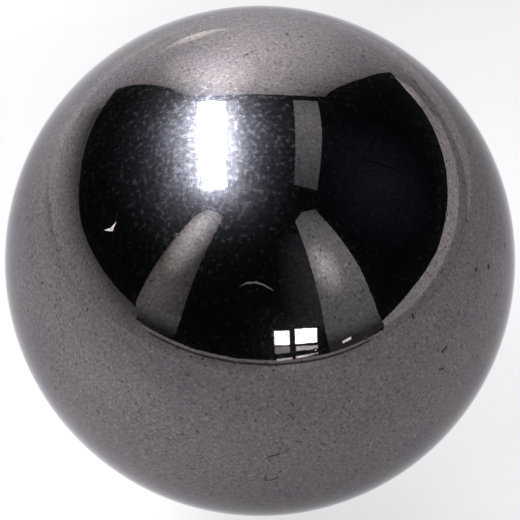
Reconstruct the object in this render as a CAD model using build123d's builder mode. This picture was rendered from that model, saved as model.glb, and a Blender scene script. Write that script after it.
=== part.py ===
"""A polished bearing-steel ball: one solid piece, lapped to a plain sphere all round."""
import os

from build123d import *

# Driving dimension, in millimetres
ball_diameter = 20.0

os.makedirs("parts", exist_ok=True)

# The ball is headed from wire, hardened right through, then ground and lapped between plates.
# Lapping takes off the pole flats and the flash ring, so the finished piece has no edge or seam.
# The origin is the ball's centre, from which every point of its surface is one radius away.
with BuildPart() as ball:
    Sphere(radius=ball_diameter / 2)

ball.part.label = "ball"
export_step(ball.part, "parts/ball.step")
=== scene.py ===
"""The looks of a polished steel ball: its lapped surface and the marks of handling, on a plain pale stage."""

import math
import random

import bmesh
import bpy
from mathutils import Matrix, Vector, kdtree


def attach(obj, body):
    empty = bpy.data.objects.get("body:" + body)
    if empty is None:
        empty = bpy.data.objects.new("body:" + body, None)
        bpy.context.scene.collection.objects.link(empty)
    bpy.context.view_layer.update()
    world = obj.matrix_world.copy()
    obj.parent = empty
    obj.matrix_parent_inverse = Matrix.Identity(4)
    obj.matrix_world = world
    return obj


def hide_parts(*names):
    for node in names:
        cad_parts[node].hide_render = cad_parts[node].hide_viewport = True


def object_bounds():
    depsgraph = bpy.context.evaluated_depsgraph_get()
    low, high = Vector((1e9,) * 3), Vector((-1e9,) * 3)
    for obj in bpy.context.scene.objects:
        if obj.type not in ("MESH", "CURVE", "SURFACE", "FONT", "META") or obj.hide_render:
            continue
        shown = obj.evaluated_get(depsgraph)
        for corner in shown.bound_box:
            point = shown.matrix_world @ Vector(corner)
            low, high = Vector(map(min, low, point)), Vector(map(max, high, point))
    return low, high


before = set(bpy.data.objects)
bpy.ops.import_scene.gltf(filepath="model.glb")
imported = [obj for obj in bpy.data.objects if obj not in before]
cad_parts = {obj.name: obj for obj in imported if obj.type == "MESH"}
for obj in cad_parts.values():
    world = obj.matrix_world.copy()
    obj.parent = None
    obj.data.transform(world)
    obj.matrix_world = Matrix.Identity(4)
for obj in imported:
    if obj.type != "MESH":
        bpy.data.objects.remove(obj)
cad_low, cad_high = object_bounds()

# Ball: one piece of through-hardened chrome bearing steel, headed from wire, then ground and lapped round.
# Lapping leaves no edge or seam. Handling has left shallow pits, short dents and two hairline scratches,
# which are real hollows in this mesh, so it stands for the plain CAD ball and keeps its radius elsewhere.
MM = 0.001
ball_radius = (cad_high.z - cad_low.z) / 2
ball_subdivisions = 7
# Pits on the side that the camera sees: azimuth and elevation of the place, in degrees, and width in mm
seen_pits = (
    (78, 16, 0.30), (67, 19, 0.30), (157, 74.6, 0.22), (146, 73.4, 0.16), (67, 11, 0.22), (106, 52, 0.22),
    (-61, 19, 0.16), (62, 22, 0.22), (116, 64, 0.17), (-152, 84, 0.14), (-94, 47, 0.15), (-174, 49, 0.20),
    (-38, -2, 0.14), (-130, 70, 0.13), (22, -14, 0.13), (-52, -5, 0.12),
)
# Smaller pits strewn over the whole ball: how many, and the ranges of their widths in mm and of their dirt
strewn_pits = 320
strewn_widths = (0.07, 0.14)
strewn_dirt = (0.4, 1.0)
strewing_seed = 20
# A pit's depth is this share of its width.
pit_depth_share = 0.025
# Dents and scratches: the places that each one runs through, its width and depth in mm, and its share of dirt
scratches = (
    (((1.9, -3.6), (3.0, -3.2), (4.1, -2.7)), 0.16, 0.003, 0.75),
    (((1.3, -10.6), (1.1, -12.4), (2.2, -12.5), (3.9, -11.5)), 0.13, 0.003, 0.7),
    (((8.0, 0.8), (8.9, 0.4)), 0.12, 0.003, 0.6),
    (((6.8, 7.9), (7.3, 7.3)), 0.12, 0.003, 0.5),
    (((44.5, 11.4), (45.9, 11.7)), 0.18, 0.003, 0.85),
    (((43.2, 7.3), (44.4, 6.7)), 0.16, 0.003, 0.8),
    (((38.6, 24.1), (38.7, 23.4)), 0.16, 0.003, 0.9),
    (((48.6, 59.1), (54.2, 55.1), (59.1, 50.7)), 0.06, 0.004, 1.0),
    (((1.7, 76.3), (12.9, 75.5), (16.0, 72.0), (10.6, 68.9)), 0.05, 0.002, 0.0),
)
# A scratch is a row of hollows, this many to a width of it.
hollows_per_width = 4
# The mesh is cut finer round the hollows in a few rounds. An edge is halved where it is longer than a share
# of the hollow's half width and lies within a reach of some half widths.
cutting_rounds = 3
longest_edge, cutting_reach = 0.5, 1.3


def on_ball(azimuth, elevation):
    """The point of the ball's surface at a place: azimuth 0 faces -Y and 90 faces +X, in degrees."""
    a, e = math.radians(azimuth), math.radians(elevation)
    return ball_radius * Vector((math.sin(a) * math.cos(e), -math.cos(a) * math.cos(e), math.sin(e)))


hollows = []  # middle, half width, depth and dirt of each hollow
for azimuth, elevation, width in seen_pits:
    hollows.append((on_ball(azimuth, elevation), width / 2 * MM, width * pit_depth_share * MM, 1.0))
strewing = random.Random(strewing_seed)
for _ in range(strewn_pits):
    width = strewing.uniform(*strewn_widths)
    azimuth = strewing.uniform(-180, 180)
    elevation = math.degrees(math.asin(strewing.uniform(-1, 1)))
    dirt = strewing.uniform(*strewn_dirt)
    hollows.append((on_ball(azimuth, elevation), width / 2 * MM, width * pit_depth_share * MM, dirt))
for places, width, depth, dirt in scratches:
    stops = [on_ball(*place) for place in places]
    for start, end in zip(stops, stops[1:]):
        steps = math.ceil((end - start).length / (width / hollows_per_width * MM))
        for step in range(steps + 1):
            spot = start.lerp(end, step / steps).normalized() * ball_radius
            hollows.append((spot, width / 2 * MM, depth * MM, dirt))
near = kdtree.KDTree(len(hollows))
for i, hollow in enumerate(hollows):
    near.insert(hollow[0], i)
near.balance()

ball_mesh = bmesh.new()
bmesh.ops.create_icosphere(ball_mesh, subdivisions=ball_subdivisions, radius=ball_radius)
for _ in range(cutting_rounds):
    long_edges = set()
    for edge in ball_mesh.edges:
        middle = (edge.verts[0].co + edge.verts[1].co) / 2
        _, i, distance = near.find(middle)
        half_width = hollows[i][1]
        length = edge.calc_length()
        if length > half_width * longest_edge and distance < half_width * cutting_reach + length:
            long_edges.add(edge)
    bmesh.ops.subdivide_edges(ball_mesh, edges=list(long_edges), cuts=1, use_grid_fill=True)
    bmesh.ops.triangulate(ball_mesh, faces=[face for face in ball_mesh.faces if len(face.verts) > 3])
    for vert in ball_mesh.verts:
        vert.co = vert.co.normalized() * ball_radius
hollow_dirt = ball_mesh.verts.layers.float.new("hollow_dirt")
for vert in ball_mesh.verts:
    _, i, distance = near.find(vert.co)
    _, half_width, depth, dirt = hollows[i]
    if distance < half_width:
        share = 1 - (distance / half_width) ** 2
        vert[hollow_dirt] = dirt * share
        vert.co *= 1 - share ** 2 * depth / ball_radius
for face in ball_mesh.faces:
    face.smooth = True
ball_data = bpy.data.meshes.new("polished_ball")
ball_mesh.to_mesh(ball_data)
ball_mesh.free()
ball = bpy.data.objects.new("polished_ball", ball_data)
bpy.context.scene.collection.objects.link(ball)


def linear(hex_colour):
    """The linear RGBA of an sRGB hex colour."""
    channels = [int(hex_colour[i:i + 2], 16) / 255 for i in (1, 3, 5)]
    return (*[c / 12.92 if c <= 0.04045 else ((c + 0.055) / 1.055) ** 2.4 for c in channels], 1.0)


def new_tree(data):
    """The empty node tree of a material or a world."""
    data.use_nodes = True
    data.node_tree.nodes.clear()
    return data.node_tree


def add_node(tree, kind, inputs=None, **settings):
    """Adds a node with its settings. An input is a value, or the output socket that it is linked to."""
    made = tree.nodes.new(kind)
    for name, value in settings.items():
        setattr(made, name, value)
    for name, value in (inputs or {}).items():
        if isinstance(value, bpy.types.NodeSocket):
            tree.links.new(value, made.inputs[name])
        else:
            made.inputs[name].default_value = value
    return made


def ramp_stops(ramp, stops):
    """Gives a colour ramp its stops, each a position and a hex colour."""
    while len(ramp.color_ramp.elements) < len(stops):
        ramp.color_ramp.elements.new(0.5)
    for element, (position, hex_colour) in zip(ramp.color_ramp.elements, stops):
        element.position = position
        element.color = linear(hex_colour)


def patched_level(tree, level, patches):
    """A level with soft patches: each has its middle and reach in mm, and what it adds at its middle."""
    for middle, reach, more in patches:
        spot = add_node(tree, "ShaderNodeMapping", {
            "Vector": add_node(tree, "ShaderNodeTexCoord").outputs["Object"],
            "Location": Vector(middle) * MM, "Scale": Vector(reach) * MM,
        }, vector_type="TEXTURE")
        fade = add_node(tree, "ShaderNodeTexGradient", {
            "Vector": spot.outputs["Vector"],
        }, gradient_type="SPHERICAL")
        level = add_node(tree, "ShaderNodeMath", {
            0: fade.outputs["Fac"], 1: more, 2: level,
        }, operation="MULTIPLY_ADD").outputs["Value"]
    return level


# Lapped bearing steel: a dark mirror. To the eye it is crisp where it mirrors edges, with a fine grain of
# light and dark specks from lapping in its grey, and dirt in its pits. A thin film of oil with dust and fine
# hairlines in it lies over the steel, thicker where fingers held it, and is a mottled veil round a lamp.
# The grain that lapping leaves is finer than this. It is drawn as coarse as it needs to show in the render.
grain_size = 0.115 * MM
grain_height = 0.00016 * MM
grain_greys = ((0.23, "#302E2F"), (0.37, "#636061"), (0.62, "#726E6F"), (0.80, "#8C8888"))
smear_size = 2.5 * MM
smear_tints = ((0.32, "#F7F3FC"), (0.50, "#FFFAFA"), (0.68, "#FCF8F2"))
edge_tint = "#CCCCD0"
pit_dirt = "#1F1C1B"
dust_size = 0.17 * MM
hairline_length, hairline_width = 0.5 * MM, 0.08 * MM
hairline_turns = ((0.3, 0.5, 0.2), (1.1, -0.6, 1.4), (-0.8, 0.9, 2.5))
film_roughness = 0.285
thin_film, thickest_film = 0.11, 0.85
# Finger smudges: azimuth and elevation in degrees, reach in mm, and how much oil each adds to the thin film
smudges = (
    (-31, 67, 4.2, 0.68), (-17, 53, 2.6, 0.28), (140, 35, 4.0, 0.4), (-125, -20, 3.6, 0.4),
    (165, -35, 4.2, 0.3),
)
# How a noise is read: the two ends of the range that counts, and what it gives at each end
range_ends = ("From Min", "From Max", "To Min", "To Max")
mirror_roughness = dict(zip(range_ends, (0.3, 0.7, 0.02, 0.03)))
wiping = dict(zip(range_ends, (0.35, 0.65, 0.75, 1.25)))
mottling = dict(zip(range_ends, (0.36, 0.64, 0.55, 1.05)))
speck_weight = dict(zip(range_ends, (0.60, 0.68, 0.0, 2.4)))
hairline_weight = dict(zip(range_ends, (0.64, 0.76, 0.0, 0.2)))
steel = bpy.data.materials.new("lapped_bearing_steel")
tree = new_tree(steel)
place = add_node(tree, "ShaderNodeTexCoord").outputs["Object"]
grain = add_node(tree, "ShaderNodeTexNoise", {"Vector": place, "Scale": 1 / grain_size, "Detail": 2.0})
smear = add_node(tree, "ShaderNodeTexNoise", {"Vector": place, "Scale": 1 / smear_size, "Detail": 3.0})
dust = add_node(tree, "ShaderNodeTexNoise", {"Vector": place, "Scale": 1 / dust_size, "Detail": 2.0})
scuffs = 0.0
for turn in hairline_turns:
    along = add_node(tree, "ShaderNodeMapping", {
        "Vector": place, "Rotation": turn, "Scale": (hairline_length, hairline_width, hairline_width),
    }, vector_type="TEXTURE")
    streak = add_node(tree, "ShaderNodeTexNoise", {
        "Vector": along.outputs["Vector"], "Scale": 1.0, "Detail": 0.0,
    })
    hairline = add_node(tree, "ShaderNodeMapRange", {"Value": streak.outputs["Fac"], **hairline_weight})
    scuffs = add_node(tree, "ShaderNodeMath", {0: hairline.outputs["Result"], 1: scuffs}).outputs["Value"]
steel_grey = add_node(tree, "ShaderNodeValToRGB", {"Fac": grain.outputs["Fac"]})
ramp_stops(steel_grey, grain_greys)
steel_tint = add_node(tree, "ShaderNodeValToRGB", {"Fac": smear.outputs["Fac"]})
ramp_stops(steel_tint, smear_tints)
tinted = add_node(tree, "ShaderNodeMix", {
    "Factor": 1.0, 6: steel_grey.outputs["Color"], 7: steel_tint.outputs["Color"],
}, data_type="RGBA", blend_type="MULTIPLY")
dirt = add_node(tree, "ShaderNodeAttribute", attribute_name="hollow_dirt")
dirty = add_node(tree, "ShaderNodeMix", {
    "Factor": dirt.outputs["Fac"], 6: tinted.outputs[2], 7: linear(pit_dirt),
}, data_type="RGBA")
oil = patched_level(tree, thin_film, [
    (on_ball(azimuth, elevation) / MM, (reach, reach, reach), more)
    for azimuth, elevation, reach, more in smudges
])
wiped = add_node(tree, "ShaderNodeMapRange", {"Value": smear.outputs["Fac"], **wiping})
film = add_node(tree, "ShaderNodeMath", {0: oil, 1: wiped.outputs["Result"]}, operation="MULTIPLY")
mottle = add_node(tree, "ShaderNodeMapRange", {"Value": dust.outputs["Fac"], **mottling})
specks = add_node(tree, "ShaderNodeMapRange", {"Value": dust.outputs["Fac"], **speck_weight})
dusty = add_node(tree, "ShaderNodeMath", {0: mottle.outputs["Result"], 1: specks.outputs["Result"]})
flecked = add_node(tree, "ShaderNodeMath", {0: dusty.outputs["Value"], 1: scuffs})
spread = add_node(tree, "ShaderNodeMath", {
    0: film.outputs["Value"], 1: flecked.outputs["Value"],
}, operation="MULTIPLY")
veil = add_node(tree, "ShaderNodeMath", {0: spread.outputs["Value"], 1: thickest_film}, operation="MINIMUM")
clear_steel = add_node(tree, "ShaderNodeMapRange", {"Value": smear.outputs["Fac"], **mirror_roughness})
relief = add_node(tree, "ShaderNodeBump", {
    "Strength": 1.0, "Distance": grain_height, "Height": grain.outputs["Fac"],
})
steel_shader = add_node(tree, "ShaderNodeBsdfPrincipled", {
    "Base Color": dirty.outputs[2], "Metallic": 1.0, "Roughness": clear_steel.outputs["Result"],
    "Specular Tint": linear(edge_tint), "Normal": relief.outputs["Normal"],
    "Coat Weight": veil.outputs["Value"], "Coat Roughness": film_roughness,
})
add_node(tree, "ShaderNodeOutputMaterial", {"Surface": steel_shader.outputs["BSDF"]})
ball_data.materials.append(steel)
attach(ball, "root")
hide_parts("ball")

# Floor: a wide sheet of matt pale card that the ball lies on, level with its lowest point. Besides the light
# that falls on it, it glows evenly for the camera and for mirrors alike, with painted light and shade in soft
# patches round the ball: painted pools of light, the brightest on the left, and a painted shade just in
# front.
floor_reach = 1.5
floor_colour = "#DBDADB"
floor_glow_colour = "#FEFDFF"
floor_glow = 0.59
# Painted light and shade in the floor's glow: painted pools of light round the ball and one painted shade in
# front of it, each with its middle and reach in mm and what it adds.
floor_painted_light_and_shade = (
    ((-48, 12, -10), (70, 70, 70), 0.42), ((-22, -12, -10), (22, 22, 22), 0.28),
    ((-26, 10, -10), (16, 16, 16), 0.28), ((-9, -2, -10), (11, 11, 11), 0.28),
    ((-40, 62, -10), (80, 40, 40), 0.6), ((-20, 38, -10), (20, 20, 20), 0.15),
    ((20, 38, -10), (20, 20, 20), 0.12), ((20, 7, -10), (24, 24, 24), 0.28),
    ((13, -7, -10), (8, 8, 8), 0.09), ((1, -7, -10), (9, 9, 9), -0.07),
)


def stage_piece(name, shape, finish):
    """Makes a bmesh into a stage object with one finish."""
    data = bpy.data.meshes.new(name)
    shape.to_mesh(data)
    shape.free()
    made = bpy.data.objects.new(name, data)
    data.materials.append(finish)
    bpy.context.scene.collection.objects.link(made)
    return made


def seen_or_mirrored(tree):
    """An output that is 1 for rays from the camera, a mirror or glass, and 0 for light on matt things."""
    path = add_node(tree, "ShaderNodeLightPath").outputs
    direct = add_node(tree, "ShaderNodeMath", {
        0: path["Is Camera Ray"], 1: path["Is Glossy Ray"],
    }, operation="MAXIMUM")
    return add_node(tree, "ShaderNodeMath", {
        0: direct.outputs["Value"], 1: path["Is Transmission Ray"],
    }, operation="MAXIMUM").outputs["Value"]


floor_card = bpy.data.materials.new("pale_floor_card")
tree = new_tree(floor_card)
matt = add_node(tree, "ShaderNodeBsdfDiffuse", {"Color": linear(floor_colour)})
glow_share = add_node(tree, "ShaderNodeMath", {
    0: seen_or_mirrored(tree), 1: patched_level(tree, floor_glow, floor_painted_light_and_shade),
}, operation="MULTIPLY")
glow = add_node(tree, "ShaderNodeEmission", {
    "Color": linear(floor_glow_colour), "Strength": glow_share.outputs["Value"],
})
both = add_node(tree, "ShaderNodeAddShader", {0: matt.outputs["BSDF"], 1: glow.outputs["Emission"]})
add_node(tree, "ShaderNodeOutputMaterial", {"Surface": both.outputs["Shader"]})
floor_shape = bmesh.new()
bmesh.ops.create_grid(floor_shape, x_segments=1, y_segments=1, size=floor_reach)
bmesh.ops.translate(floor_shape, verts=floor_shape.verts, vec=(0, 0, cad_low.z))
stage_piece("floor", floor_shape, floor_card)

# Reflectors: cards and lamp panels round the ball that only mirrors see, so that the polished steel has
# something to show. The cards are no lamps: they glow by themselves as painted light, as if lit, and their
# brighter patches are painted pools of light and painted highlights. Each faces along one axis and has its
# place on that axis and its corners across it in mm, its colour, how bright it glows, where 1 is white, and
# any brighter patches.
reflectors = (
    ("overhead_panel", "z", 220, ((-100, 143), (-53, 123), (-55, -51), (-97, -52)), "#E9EBFF", 172.0, ()),
    ("panel_frame", "z", 220, ((-47, 126), (-35, 117), (-35, -40), (-47, -45)), "#F4F4FF", 1.0, ()),
    ("overhead_card", "z", 220, ((56, -48), (99, -52), (98, 65), (93, 143), (51, 127)), "#FCFFFF", 0.2,
     (((73, 85, 220), (140, 140, 140), 0.56),)),
    ("backdrop", "y", 180, (
        (-160, -10), (160, -10), (160, 22), (100, 28), (110, 98), (112, 200), (117, 235), (95, 258),
        (59, 278), (10, 286), (-40, 283), (-86, 263), (-126, 212), (-122, 150), (-124, 81), (-128, 39),
        (-160, 45),
    ), "#FFFEFF", 0.25, (
        ((-15, 180, 110), (140, 140, 300), 2.55), ((-61, 180, 182), (62, 62, 120), 2.8),
        ((-140, 180, -10), (90, 90, 70), 1.0), ((140, 180, 0), (80, 80, 70), 0.4),
    )),
    ("backdrop_fold", "y", 179, (
        (-70, 29), (-59, 22), (-46, 18), (-34, 18), (-17, 27), (-17, 33), (-30, 29), (-38, 36), (-51, 36),
    ), "#FFFDFB", 2.1, (((-38, 179, 24), (28, 28, 16), 2.4),)),
    ("backdrop_sweep", "z", -9.5, ((-160, 60), (160, 60), (160, 180), (-160, 180)), "#FFFEFF", 1.0,
     (((-60, 150, -9.5), (130, 160, 150), 1.05),)),
    ("left_upright", "y", -100, (
        (-143, 30), (-67, 30), (-61, 199), (-85, 226), (-109, 243), (-125, 217),
    ), "#FEFFFB", 0.2, (((-98, -100, 178), (42, 42, 110), 2.95), ((-115, -100, 60), (50, 50, 100), 0.34))),
    ("left_foot", "y", -100, (
        (-143, 30), (-67, 30), (-70, 9), (-103, 8), (-128, 12),
    ), "#FEFFFB", 0.05, (((-100, -100, 30), (1000, 1000, 18), 0.36),)),
    ("right_upright", "y", -100, (
        (51, 20), (123, 20), (124, 91), (117, 200), (114, 246), (75, 219), (55, 182),
    ), "#FCFFFE", 0.27, (((90, -100, 110), (110, 110, 130), 0.65), ((71, -100, 90), (24, 24, 40), 1.5))),
    ("right_foot", "y", -100, ((51, 20), (123, 20), (129, 3), (101, 1), (53, 1)), "#FCFFFE", 0.1,
     (((90, -100, 22), (1000, 1000, 14), 0.4),)),
    ("right_upright_side", "y", -101, ((54, 26), (57, 150), (30, 152), (12, 96), (10, 26)), "#E6EAFF", 0.01,
     (((58, -101, 70), (42, 42, 110), 0.15),)),
    ("left_rim", "x", -160, (
        (184, -10), (184, 45), (112, 41), (66, 38), (15, 31), (-104, 28), (-121, 26), (-121, -10),
    ), "#FEFEFD", 0.25, (((-160, 110, -10), (1000, 300, 45), 1.15),)),
    ("right_hem", "x", 160, (
        (182, 33), (125, 30), (60, 26), (-13, 20), (-60, 19), (-90, 16), (-125, 11),
        (-122, 2), (-72, 3), (60, 7), (182, 6),
    ), "#FEFEFD", 0.92, (((160, 60, 24), (1000, 220, 1000), 0.3),)),
    ("right_rim", "x", 161, ((184, -10), (184, 20), (80, 14), (-72, 8), (-122, 12), (-130, -10)),
     "#FEFDFD", 0.6, (((161, 60, 10), (1000, 300, 20), 0.1),)),
    ("back_hem", "y", 179, ((160, 33), (127, 34), (106, 30), (116, 15), (160, 14)),
     "#FEFEFD", 1.0, (((130, 179, 34), (26, 26, 20), 0.9),)),
    ("front_lip", "y", -120, (
        (-143, 9.7), (4, 2.6), (63, 0), (148, -0.7), (147, -4), (63, -2.8), (4, 0), (-142, 6.2),
    ), "#FEFDFB", 0.7, ()),
    ("front_gap", "y", -120, (
        (-125, 5.3), (4, 0), (63, -2.8), (122, -3.6), (122, -6), (63, -5.2), (4, -2.4), (-125, 2.9),
    ), "#FEFDFB", 0.14, ()),
    ("front_apron", "y", -121, ((-160, 12), (4, 1), (63, -1), (160, -3), (160, -10), (-160, -10)),
     "#FEFDFB", 0.45, (((0, -121, -10), (2000, 2000, 16), 0.25), ((34, -121, -10), (40, 40, 30), 0.3))),
    ("left_far_lamp", "y", -350, ((37, 42), (76, 40), (77, 81), (37, 82)), "#FFFCFA", 11.0, ()),
    ("right_far_lamp", "y", -350, ((91, 40), (153, 36), (158, 78), (93, 86)), "#FFF9F2", 11.0, ()),
    ("left_lamp_shelf", "y", -350, ((37, 18), (75, 17), (76, 36), (37, 38)), "#FCFCFF", 1.0, ()),
    ("right_lamp_shelf", "y", -350, ((92, 20), (153, 16), (154, 27), (92, 33)), "#FFFFFF", 2.4, ()),
    ("left_glint", "y", -119, ((14, 3.4), (27, 3.6), (27, 1.8), (14, 1.6)), "#FFFFFF", 2.4, ()),
    ("right_glint", "y", -119, ((30, 4), (38, 4), (51, 3.6), (51, 2), (38, 2), (30, 2)), "#FFFFFF", 1.5,
     (((33, -119, 3), (14, 14, 14), 3.0),)),
    ("side_glint", "y", -99, ((65, 7.4), (75, 8.8), (75, 6.4), (65, 5.4)), "#FFFFFF", 4.0, ()),
    ("far_fleck", "x", -250, ((-20, 87), (-35, 104), (-27, 121), (-28, 104)), "#FFFFFF", 6.0, ()),
    ("far_arc", "y", -300, (
        (-57, 192), (-36, 209), (-9, 212), (15, 201), (34, 183), (34, 180), (15, 196), (-9, 206), (-36, 204),
    ), "#FFFFFF", 0.8, ()),
)


def only_mirrored(piece):
    """Keeps a stage piece out of the camera's sight and out of the light that falls on things."""
    piece.visible_camera = False
    piece.visible_diffuse = False
    piece.visible_shadow = False


def glowing_card(name, hex_colour, brightness, patches):
    """A card that glows evenly, or with soft brighter patches."""
    card = bpy.data.materials.new(name)
    tree = new_tree(card)
    light = add_node(tree, "ShaderNodeEmission", {
        "Color": linear(hex_colour), "Strength": patched_level(tree, brightness, patches),
    })
    add_node(tree, "ShaderNodeOutputMaterial", {"Surface": light.outputs["Emission"]})
    return card


for name, axis, at, corners, hex_colour, brightness, patches in reflectors:
    shape = bmesh.new()
    spots = [{"x": (at, a, b), "y": (a, at, b), "z": (a, b, at)}[axis] for a, b in corners]
    shape.faces.new([shape.verts.new(Vector(spot) * MM) for spot in spots])
    only_mirrored(stage_piece(name, shape, glowing_card(name, hex_colour, brightness, patches)))

# Black hood: a dark half dome over the stage that only mirrors see, so that the steel has depth in it.
# One patch on the right is a little less dark.
hood_radius = 0.42
hood_segments, hood_rings = 64, 32
hood_colour = "#C0D4FF"
hood_glow = 0.01
hood_patch = ((320, 20, 270), (200, 200, 200), 0.06)
hood_shape = bmesh.new()
bmesh.ops.create_uvsphere(hood_shape, u_segments=hood_segments, v_segments=hood_rings, radius=hood_radius)
bmesh.ops.bisect_plane(
    hood_shape, geom=[*hood_shape.verts, *hood_shape.edges, *hood_shape.faces],
    plane_co=(0, 0, cad_low.z), plane_no=(0, 0, 1), clear_inner=True,
)
hood_cloth = glowing_card("black_hood_cloth", hood_colour, hood_glow, (hood_patch,))
only_mirrored(stage_piece("black_hood", hood_shape, hood_cloth))

# Lamp: one soft panel above the left of the stage, which only the floor and other matt surfaces see.
# It gives the ball its soft shadow on the right.
key_size = 0.2
key_place = (-0.2, 0.03, 0.2)
key_watts = 0.21
key_lamp = bpy.data.lights.new("soft_key", "AREA")
key_lamp.size = key_size
key_lamp.energy = key_watts
key = bpy.data.objects.new("soft_key", key_lamp)
key.location = key_place
key.rotation_mode = "QUATERNION"
key.rotation_quaternion = (-Vector(key_place)).to_track_quat("-Z", "Y")
key.visible_camera = False
key.visible_glossy = False
bpy.context.scene.collection.objects.link(key)

# World: an even pale studio. It fills softly from every side, and the camera and mirrors see it as a pale
# tone near that of the floor.
world_colour = "#FFFEFD"
world_fill = 0.11
world_shown = 0.82
world = bpy.data.worlds.new("pale_studio")
bpy.context.scene.world = world
tree = new_tree(world)
level = add_node(tree, "ShaderNodeMapRange", {
    "Value": seen_or_mirrored(tree), "To Min": world_fill, "To Max": world_shown,
})
sky = add_node(tree, "ShaderNodeBackground", {
    "Color": linear(world_colour), "Strength": level.outputs["Result"],
})
add_node(tree, "ShaderNodeOutputWorld", {"Surface": sky.outputs["Background"]})

# Camera: a long macro lens that looks down at the ball, which almost fills the frame. The ball's radius in
# the picture, and how far its middle is below the picture's, are in pixels of a square frame.
view_elevation = 44
lens_mm, sensor_mm = 300, 36
frame_pixels = 520
ball_radius_pixels = 255.4
pixels_low = 0.8
clip_near, clip_far = 0.01, 10
camera_data = bpy.data.cameras.new("camera")
camera_data.lens, camera_data.sensor_width = lens_mm, sensor_mm
camera_data.shift_y = pixels_low / frame_pixels
half_angle = math.atan(ball_radius_pixels / frame_pixels * sensor_mm / lens_mm)
camera = bpy.data.objects.new("camera", camera_data)
camera.location = on_ball(0, view_elevation) / math.sin(half_angle)
camera.rotation_mode = "QUATERNION"
camera.rotation_quaternion = (-camera.location).to_track_quat("-Z", "Y")
camera_data.clip_start, camera_data.clip_end = clip_near, clip_far
bpy.context.scene.collection.objects.link(camera)
bpy.context.scene.camera = camera
bpy.context.scene.view_settings.view_transform = "Standard"
